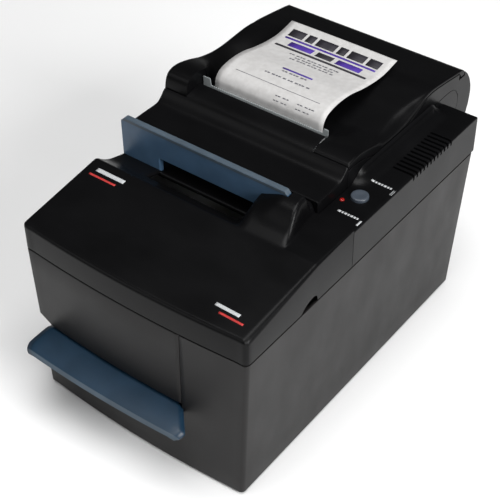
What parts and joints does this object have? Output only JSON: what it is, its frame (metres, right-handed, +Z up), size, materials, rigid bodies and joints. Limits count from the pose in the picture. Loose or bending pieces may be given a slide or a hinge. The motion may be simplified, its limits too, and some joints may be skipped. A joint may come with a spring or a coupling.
{
  "type": "receipt printer",
  "caption": "Counter receipt printer with a roll-fed thermal station under a hinged lid, an impact slip station with a see-through guide and table, and a sprung feed button.",
  "frame": {"origin": "centre of the bounding box's base, on the counter under the middle of the printer", "axes": "+X to the printer's right side, +Y to its back, +Z up"},
  "size_m": [0.16, 0.2914, 0.1624],
  "materials": {
    "case_plastic": "fine-textured charcoal ABS",
    "cover_plastic": "satin black ABS",
    "frosted_plastic": "frosted blue-grey polycarbonate, slightly see-through",
    "bright_steel": "bright steel",
    "plated_steel": "zinc-plated sheet",
    "aluminium": "cast aluminium",
    "rubber": "black rubber",
    "paper": "coated thermal paper",
    "gear_plastic": "natural acetal",
    "circuit_board": "green solder mask",
    "moulded_black": "moulded black plastic",
    "button_grey": "blue-grey push button",
    "led_red": "red lens"
  },
  "bodies": {
    "base": {"lower_case": "case_plastic", "slip_bezel": "case_plastic", "shoulder_cover": "case_plastic", "mechanism_cover": "cover_plastic", "roll_housing": "cover_plastic", "slip_table": "frosted_plastic", "front_hinge_pin": "bright_steel", "receipt_hinge_pin": "bright_steel", "foot_front_left": "rubber", "foot_front_right": "rubber", "foot_rear_left": "rubber", "foot_rear_right": "rubber", "chassis": "plated_steel", "rear_guide_rod": "bright_steel", "front_guide_rod": "bright_steel", "case_screw_1": "bright_steel", "case_screw_2": "bright_steel", "tear_bar": "bright_steel", "thermal_head": "aluminium", "head_bracket": "plated_steel", "gear_plate": "plated_steel", "receipt_motor": "plated_steel", "roll_cradle": "moulded_black", "slip_deck": "plated_steel", "slip_front_guide": "plated_steel", "slip_platen": "rubber", "slip_motor": "plated_steel", "carriage_belt": "rubber", "carriage_motor": "plated_steel", "ribbon_cassette": "moulded_black", "ink_ribbon": "rubber", "logic_board": "circuit_board", "connector_panel": "plated_steel", "power_socket": "moulded_black", "drawer_socket": "moulded_black", "serial_socket": "moulded_black", "usb_socket": "moulded_black", "button_spring": "bright_steel", "button_board": "circuit_board", "status_led": "led_red"},
    "front_cover": {"front_cover": "cover_plastic", "slip_guide": "frosted_plastic"},
    "receipt_cover": {"receipt_cover": "cover_plastic", "receipt_paper": "paper"},
    "platen": {"platen_roller": "rubber", "platen_shaft": "bright_steel", "platen_gear": "gear_plastic"},
    "idler": {"idler_gear": "gear_plastic"},
    "pinion": {"motor_pinion": "gear_plastic"},
    "paper_roll": {"paper_roll": "paper", "roll_core": "gear_plastic"},
    "slip_drive": {"slip_drive_roller": "rubber"},
    "slip_pressure": {"slip_pressure_roller": "rubber"},
    "carriage": {"carriage": "moulded_black", "impact_head": "aluminium"},
    "pulley_left": {"belt_pulley_left": "gear_plastic"},
    "pulley_right": {"belt_pulley_right": "gear_plastic"},
    "ribbon_knob": {"ribbon_knob": "gear_plastic"},
    "feed_button": {"feed_button": "button_grey"}
  },
  "joints": [
    {"name": "front_cover_hinge", "type": "hinge", "parent": "base", "child": "front_cover", "pos_m": [0, -0.0293, 0.1411], "axis": [-1, 0, 0], "range_deg": [0, 75]},
    {"name": "receipt_cover_hinge", "type": "hinge", "parent": "base", "child": "receipt_cover", "pos_m": [0, 0.1319, 0.1442], "axis": [-1, 0, 0], "range_deg": [0, 95]},
    {"name": "platen_spin", "type": "hinge", "parent": "receipt_cover", "child": "platen", "pos_m": [0, 0.0278, 0.1348], "axis": [1, 0, 0], "continuous": true},
    {"name": "idler_spin", "type": "hinge", "parent": "base", "child": "idler", "pos_m": [-0.0685, 0.0278, 0.1177], "axis": [1, 0, 0], "continuous": true},
    {"name": "pinion_spin", "type": "hinge", "parent": "base", "child": "pinion", "pos_m": [-0.0685, 0.0133, 0.11085], "axis": [1, 0, 0], "continuous": true},
    {"name": "paper_roll_spin", "type": "hinge", "parent": "base", "child": "paper_roll", "pos_m": [-0.015, 0.0913, 0.108], "axis": [1, 0, 0], "continuous": true},
    {"name": "slip_drive_spin", "type": "hinge", "parent": "base", "child": "slip_drive", "pos_m": [-0.016, -0.0947, 0.0434], "axis": [1, 0, 0], "continuous": true},
    {"name": "slip_pressure_spin", "type": "hinge", "parent": "base", "child": "slip_pressure", "pos_m": [-0.016, -0.0947, 0.0549], "axis": [1, 0, 0], "continuous": true},
    {"name": "carriage_slide", "type": "slide", "parent": "base", "child": "carriage", "axis": [1, 0, 0], "range_m": [-0.092, 0.01]},
    {"name": "pulley_left_spin", "type": "hinge", "parent": "base", "child": "pulley_left", "pos_m": [-0.054, -0.0807, 0.0765], "axis": [0, 0, 1], "continuous": true},
    {"name": "pulley_right_spin", "type": "hinge", "parent": "base", "child": "pulley_right", "pos_m": [0.06, -0.0807, 0.0765], "axis": [0, 0, 1], "continuous": true},
    {"name": "ribbon_knob_spin", "type": "hinge", "parent": "base", "child": "ribbon_knob", "pos_m": [-0.046, -0.0907, 0.112], "axis": [0, 0, 1], "continuous": true},
    {"name": "feed_button_press", "type": "slide", "parent": "base", "child": "feed_button", "axis": [0, 0, -1], "range_m": [0, 0.0012], "stiffness_N_per_m": 400, "deforming": ["button_spring"]}
  ],
  "couplings": [
    {"joint": "idler_spin", "follows": "platen_spin", "ratio": -0.7},
    {"joint": "pinion_spin", "follows": "platen_spin", "ratio": 1.1667},
    {"joint": "slip_pressure_spin", "follows": "slip_drive_spin", "ratio": -1.2},
    {"joint": "pulley_left_spin", "follows": "carriage_slide", "rad_per_m": -155},
    {"joint": "pulley_right_spin", "follows": "carriage_slide", "rad_per_m": -155}
  ]
}
